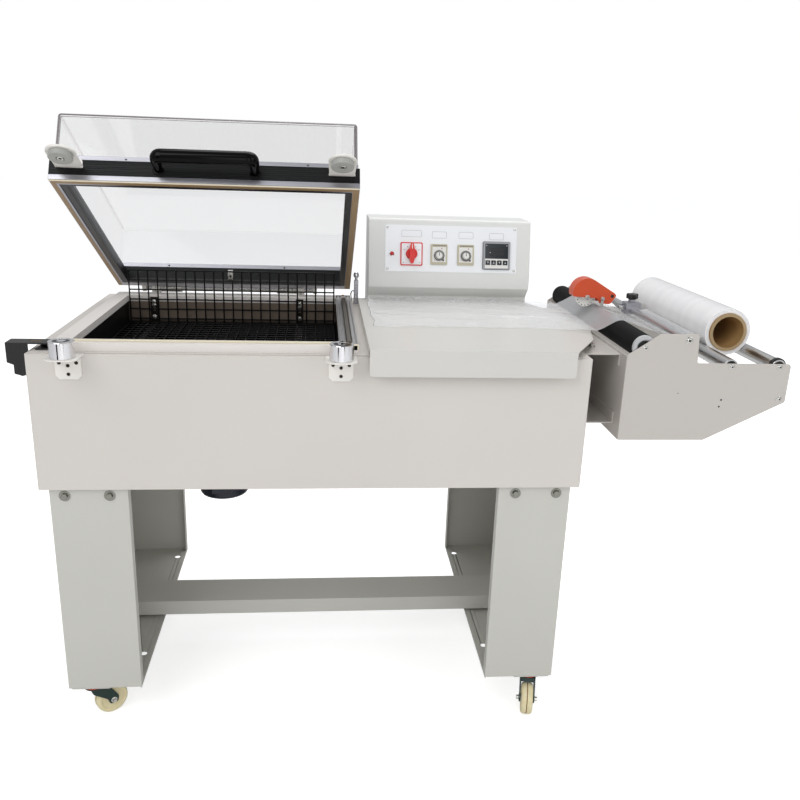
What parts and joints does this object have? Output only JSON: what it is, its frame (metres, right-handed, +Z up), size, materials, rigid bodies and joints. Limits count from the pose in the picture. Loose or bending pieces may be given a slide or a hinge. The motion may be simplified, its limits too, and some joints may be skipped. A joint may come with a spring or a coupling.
{
  "type": "shrink wrapping machine",
  "caption": "Chamber shrink wrapper: clear hinged hood with holding magnets over a heated tray, product table, control box and film unwinder, on folded legs with castors.",
  "frame": {"origin": "middle of the machine's footprint, on the floor under the castors", "axes": "+X to the film unwinder's end, +Y to the back, +Z up"},
  "size_m": [1.7, 0.7804, 1.3642],
  "materials": {
    "cabinet_paint": "light warm grey powder coat",
    "leg_paint": "grey powder coat",
    "zinc_steel": "bright zinc plate",
    "stainless": "brushed stainless sheet",
    "rail_aluminium": "extruded, plain anodised",
    "seal_rubber": "cream silicone",
    "black_wire": "black coated wire",
    "heater_steel": "heat-darkened steel",
    "motor_paint": "dark blue enamel",
    "black_anodised": "black anodised",
    "clear_hood": "clear cast acrylic",
    "black_plastic": "glossy black nylon",
    "tan_tape": "woven glass tape",
    "bracket_paint": "grey cream powder coat",
    "chrome": "bright chrome plate",
    "table_paint": "off-white powder coat",
    "plate_aluminium": "brushed and clear anodised",
    "instrument_plastic": "moulded beige and black",
    "red_plastic": "moulded red",
    "dial_plastic": "moulded dark grey",
    "black_paint": "black powder coat",
    "shaft_steel": "ground steel",
    "roller_rubber": "black rubber sleeve",
    "cradle_aluminium": "turned tube",
    "film_stack": "wound shrink film",
    "cardboard": "spiral wound board",
    "white_nylon": "white nylon",
    "guard_orange": "orange paint",
    "clear_film": "clear shrink film",
    "castor_green": "dark green paint",
    "castor_cream": "cream polyurethane"
  },
  "bodies": {
    "base": {"cabinet_shell": "cabinet_paint", "top_deck": "cabinet_paint", "bottom_pan": "leg_paint", "legs": "leg_paint", "crossbar": "leg_paint", "steel_fittings": "zinc_steel", "chamber_liner": "stainless", "chamber_rim": "cabinet_paint", "side_seal_rails": "rail_aluminium", "seal_strips": "seal_rubber", "tray_grid": "black_wire", "rear_mesh": "black_wire", "heater_tubes": "heater_steel", "fan_motor": "motor_paint", "hinge_bearings": "zinc_steel", "lid_springs": "shaft_steel", "holding_magnets": "chrome", "magnet_brackets": "bracket_paint", "product_table": "table_paint", "control_box": "cabinet_paint", "control_panel": "plate_aluminium", "panel_instruments": "instrument_plastic", "left_bracket": "black_paint", "unwinder_frame": "cabinet_paint", "unwinder_shafts": "shaft_steel", "perforator_clamp": "plate_aluminium", "film_web": "clear_film"},
    "lid": {"lid_frame": "rail_aluminium", "lid_bars": "black_anodised", "lid_hood": "clear_hood", "lid_handle": "black_plastic", "lid_tape": "tan_tape", "clamp_brackets": "bracket_paint", "armature_discs": "zinc_steel", "hinge_shaft": "shaft_steel"},
    "fan": {"fan_impeller": "zinc_steel"},
    "main_switch": {"switch_knob": "red_plastic"},
    "timer_1": {"timer_dial_1": "dial_plastic"},
    "timer_2": {"timer_dial_2": "dial_plastic"},
    "feed": {"feed_roller": "roller_rubber"},
    "cradle_1": {"cradle_roller_1": "cradle_aluminium"},
    "cradle_2": {"cradle_roller_2": "cradle_aluminium"},
    "roll": {"film_core": "cardboard", "film_roll": "film_stack"},
    "guard": {"perforator_cover": "guard_orange"},
    "pins": {"pin_wheel": "white_nylon"},
    "stud_knob": {"clamp_knob": "black_plastic"},
    "key_1": {"controller_key_1": "instrument_plastic"},
    "key_2": {"controller_key_2": "instrument_plastic"},
    "key_3": {"controller_key_3": "instrument_plastic"},
    "key_4": {"controller_key_4": "instrument_plastic"},
    "swivel_front_left": {"castor_fork_front_left": "castor_green"},
    "wheel_front_left": {"castor_wheel_front_left": "castor_cream"},
    "swivel_rear_left": {"castor_fork_rear_left": "castor_green"},
    "wheel_rear_left": {"castor_wheel_rear_left": "castor_cream"},
    "swivel_front_right": {"castor_fork_front_right": "castor_green"},
    "wheel_front_right": {"castor_wheel_front_right": "castor_cream"},
    "swivel_rear_right": {"castor_fork_rear_right": "castor_green"},
    "wheel_rear_right": {"castor_wheel_rear_right": "castor_cream"}
  },
  "joints": [
    {"name": "lid_hinge", "type": "hinge", "parent": "base", "child": "lid", "pos_m": [-0.4445, 0.3218, 0.927], "axis": [1, 0, 0], "range_deg": [0, 30], "stiffness_Nm_per_rad": 22, "springref_deg": -85.94},
    {"name": "fan_spin", "type": "hinge", "parent": "base", "child": "fan", "pos_m": [-0.452, -0.0302, 0.66], "axis": [0, 0, 1], "continuous": true},
    {"name": "switch_turn", "type": "hinge", "parent": "base", "child": "main_switch", "pos_m": [0.033, 0.22477, 1.04611], "axis": [0, -0.9781, 0.2079], "range_deg": [0, 90]},
    {"name": "timer_turn_1", "type": "hinge", "parent": "base", "child": "timer_1", "pos_m": [0.108, 0.22415, 1.04318], "axis": [0, -0.9781, 0.2079], "range_deg": [-135, 135]},
    {"name": "timer_turn_2", "type": "hinge", "parent": "base", "child": "timer_2", "pos_m": [0.181, 0.22415, 1.04318], "axis": [0, -0.9781, 0.2079], "range_deg": [-135, 135]},
    {"name": "roll_spin", "type": "hinge", "parent": "base", "child": "roll", "pos_m": [0.7665, 0.1048, 0.9217], "axis": [0, 1, 0], "continuous": true},
    {"name": "feed_spin", "type": "hinge", "parent": "base", "child": "feed", "pos_m": [0.504, 0.0473, 0.916], "axis": [0, 1, 0], "continuous": true},
    {"name": "guard_lift", "type": "hinge", "parent": "base", "child": "guard", "pos_m": [0.571, 0.0698, 0.94], "axis": [0, 1, 0], "range_deg": [0, 50]},
    {"name": "pin_spin", "type": "hinge", "parent": "guard", "child": "pins", "pos_m": [0.4746, 0.0698, 0.96692], "axis": [0, 1, 0], "continuous": true},
    {"name": "stud_turn", "type": "hinge", "parent": "base", "child": "stud_knob", "pos_m": [0.602, 0.0698, 0.962], "axis": [0, 0, 1], "range_deg": [0, 180]},
    {"name": "cradle_spin_1", "type": "hinge", "parent": "base", "child": "cradle_1", "pos_m": [0.71, 0.0473, 0.875], "axis": [0, 1, 0], "continuous": true},
    {"name": "cradle_spin_2", "type": "hinge", "parent": "base", "child": "cradle_2", "pos_m": [0.823, 0.0473, 0.875], "axis": [0, 1, 0], "continuous": true},
    {"name": "key_press_1", "type": "slide", "parent": "base", "child": "key_1", "axis": [0, 0.9781, -0.2079], "range_m": [0, 0.001], "stiffness_N_per_m": 600, "springref_m": -0.002},
    {"name": "key_press_2", "type": "slide", "parent": "base", "child": "key_2", "axis": [0, 0.9781, -0.2079], "range_m": [0, 0.001], "stiffness_N_per_m": 600, "springref_m": -0.002},
    {"name": "key_press_3", "type": "slide", "parent": "base", "child": "key_3", "axis": [0, 0.9781, -0.2079], "range_m": [0, 0.001], "stiffness_N_per_m": 600, "springref_m": -0.002},
    {"name": "key_press_4", "type": "slide", "parent": "base", "child": "key_4", "axis": [0, 0.9781, -0.2079], "range_m": [0, 0.001], "stiffness_N_per_m": 600, "springref_m": -0.002},
    {"name": "swivel_turn_front_left", "type": "hinge", "parent": "base", "child": "swivel_front_left", "pos_m": [-0.737, -0.2892, 0.0827], "axis": [0, 0, 1], "continuous": true},
    {"name": "wheel_roll_front_left", "type": "hinge", "parent": "swivel_front_left", "child": "wheel_front_left", "pos_m": [-0.70715, -0.26907, 0.0375], "axis": [-0.5592, 0.829, 0], "continuous": true},
    {"name": "swivel_turn_rear_left", "type": "hinge", "parent": "base", "child": "swivel_rear_left", "pos_m": [-0.737, 0.3348, 0.0827], "axis": [0, 0, 1], "continuous": true},
    {"name": "wheel_roll_rear_left", "type": "hinge", "parent": "swivel_rear_left", "child": "wheel_rear_left", "pos_m": [-0.70223, 0.34412, 0.0375], "axis": [-0.2588, 0.9659, 0], "continuous": true},
    {"name": "swivel_turn_front_right", "type": "hinge", "parent": "base", "child": "swivel_front_right", "pos_m": [0.307, -0.2892, 0.0827], "axis": [0, 0, 1], "continuous": true},
    {"name": "wheel_roll_front_right", "type": "hinge", "parent": "swivel_front_right", "child": "wheel_front_right", "pos_m": [0.2989, -0.32428, 0.0375], "axis": [0.9744, -0.225, 0], "continuous": true},
    {"name": "swivel_turn_rear_right", "type": "hinge", "parent": "base", "child": "swivel_rear_right", "pos_m": [0.307, 0.3348, 0.0827], "axis": [0, 0, 1], "continuous": true},
    {"name": "wheel_roll_rear_right", "type": "hinge", "parent": "swivel_rear_right", "child": "wheel_rear_right", "pos_m": [0.27942, 0.35794, 0.0375], "axis": [-0.6428, -0.766, 0], "continuous": true}
  ],
  "couplings": [
    {"joint": "cradle_spin_1", "follows": "roll_spin", "ratio": -3.5625},
    {"joint": "cradle_spin_2", "follows": "roll_spin", "ratio": -3.5625},
    {"joint": "feed_spin", "follows": "roll_spin", "ratio": -2.0357},
    {"joint": "pin_spin", "follows": "roll_spin", "ratio": 1.9655}
  ]
}
